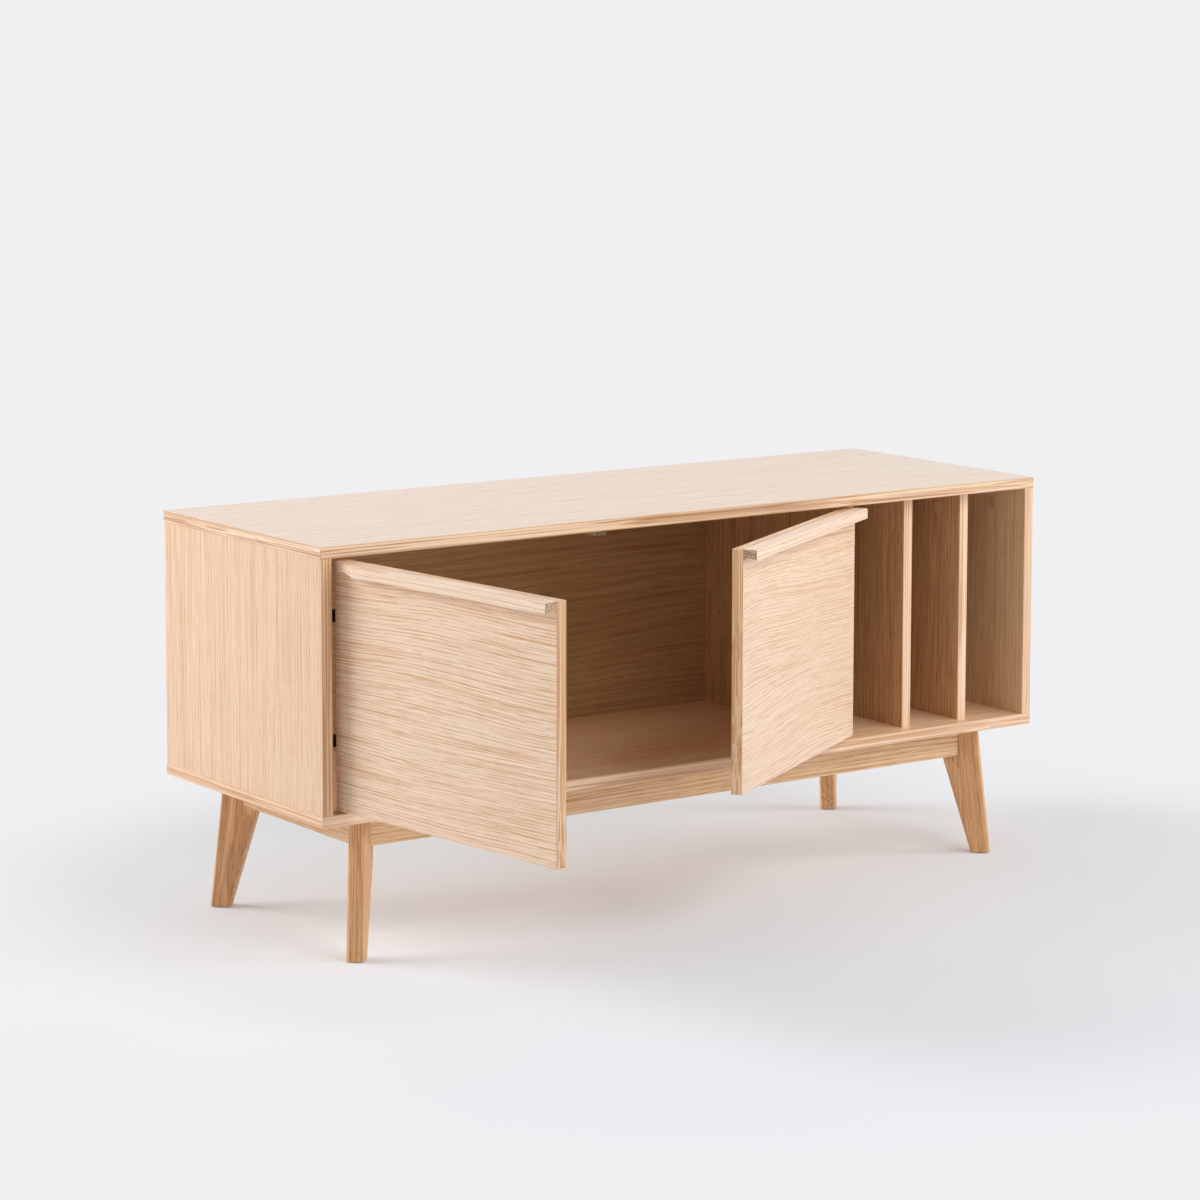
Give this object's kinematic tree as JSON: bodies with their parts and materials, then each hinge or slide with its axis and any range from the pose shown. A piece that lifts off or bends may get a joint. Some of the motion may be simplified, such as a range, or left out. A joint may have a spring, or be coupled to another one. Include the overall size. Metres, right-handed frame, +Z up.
{
  "type": "record cabinet",
  "caption": "Wooden record cabinet with two hinged doors, open upright record slots and a splayed leg frame.",
  "frame": {"origin": "centre of the bounding box's bottom, on the floor, with the doors open as stored", "axes": "+X to the right as seen from the front, +Y to the back, +Z up"},
  "size_m": [1.23, 0.8444, 0.563],
  "materials": {
    "oak_veneer": "satin",
    "solid_oak": "satin",
    "hinge_steel": "satin",
    "screw_steel": "satin",
    "cast_zinc": "matte",
    "cap_plastic": "matte",
    "clear_plastic": "gloss",
    "glide_plastic": "matte"
  },
  "bodies": {
    "cabinet": {"top_panel": "oak_veneer", "bottom_panel": "oak_veneer", "left_side_panel": "oak_veneer", "right_side_panel": "oak_veneer", "partition": "oak_veneer", "record_divider_1": "oak_veneer", "record_divider_2": "oak_veneer", "back_panel": "oak_veneer", "front_left_leg": "solid_oak", "front_right_leg": "solid_oak", "rear_left_leg": "solid_oak", "rear_right_leg": "solid_oak", "front_rail": "solid_oak", "rear_rail": "solid_oak", "left_rail": "solid_oak", "right_rail": "solid_oak", "left_upper_hinge_arm": "hinge_steel", "left_upper_hinge_plate": "hinge_steel", "left_lower_hinge_arm": "hinge_steel", "left_lower_hinge_plate": "hinge_steel", "right_upper_hinge_arm": "hinge_steel", "right_upper_hinge_plate": "hinge_steel", "right_lower_hinge_arm": "hinge_steel", "right_lower_hinge_plate": "hinge_steel", "door_catch": "clear_plastic", "fitting_screws": "screw_steel", "base_screws": "screw_steel", "back_screws": "screw_steel", "rail_screws": "screw_steel", "cam_bolts": "screw_steel", "cam_locks": "cast_zinc", "cam_caps": "cap_plastic", "foot_glides": "glide_plastic"},
    "left_door": {"left_door_panel": "oak_veneer", "left_handle_strip": "solid_oak", "left_upper_hinge_cup": "hinge_steel", "left_lower_hinge_cup": "hinge_steel", "left_strike_plate": "hinge_steel", "left_door_screws": "screw_steel"},
    "right_door": {"right_door_panel": "oak_veneer", "right_handle_strip": "solid_oak", "right_upper_hinge_cup": "hinge_steel", "right_lower_hinge_cup": "hinge_steel", "right_strike_plate": "hinge_steel", "right_door_screws": "screw_steel"},
    "left_links": {"left_upper_hinge_links": "hinge_steel", "left_lower_hinge_links": "hinge_steel"},
    "right_links": {"right_upper_hinge_links": "hinge_steel", "right_lower_hinge_links": "hinge_steel"}
  },
  "joints": [
    {"name": "left_door_swing", "type": "hinge", "parent": "cabinet", "child": "left_door", "pos_m": [-0.5845, 0.00391, 0.375], "axis": [0, 0, -1], "range_deg": [-83.5, 11.5]},
    {"name": "right_door_swing", "type": "hinge", "parent": "cabinet", "child": "right_door", "pos_m": [0.271, 0.00391, 0.375], "axis": [0, 0, 1], "range_deg": [-31.1, 63.9]},
    {"name": "left_links_swing", "type": "hinge", "parent": "cabinet", "child": "left_links", "pos_m": [-0.5845, 0.00391, 0.375], "axis": [0, 0, -1], "range_deg": [-41.75, 5.75]},
    {"name": "right_links_swing", "type": "hinge", "parent": "cabinet", "child": "right_links", "pos_m": [0.271, 0.00391, 0.375], "axis": [0, 0, 1], "range_deg": [-15.55, 31.95]}
  ],
  "couplings": [
    {"joint": "left_links_swing", "follows": "left_door_swing", "ratio": 0.5},
    {"joint": "right_links_swing", "follows": "right_door_swing", "ratio": 0.5}
  ]
}
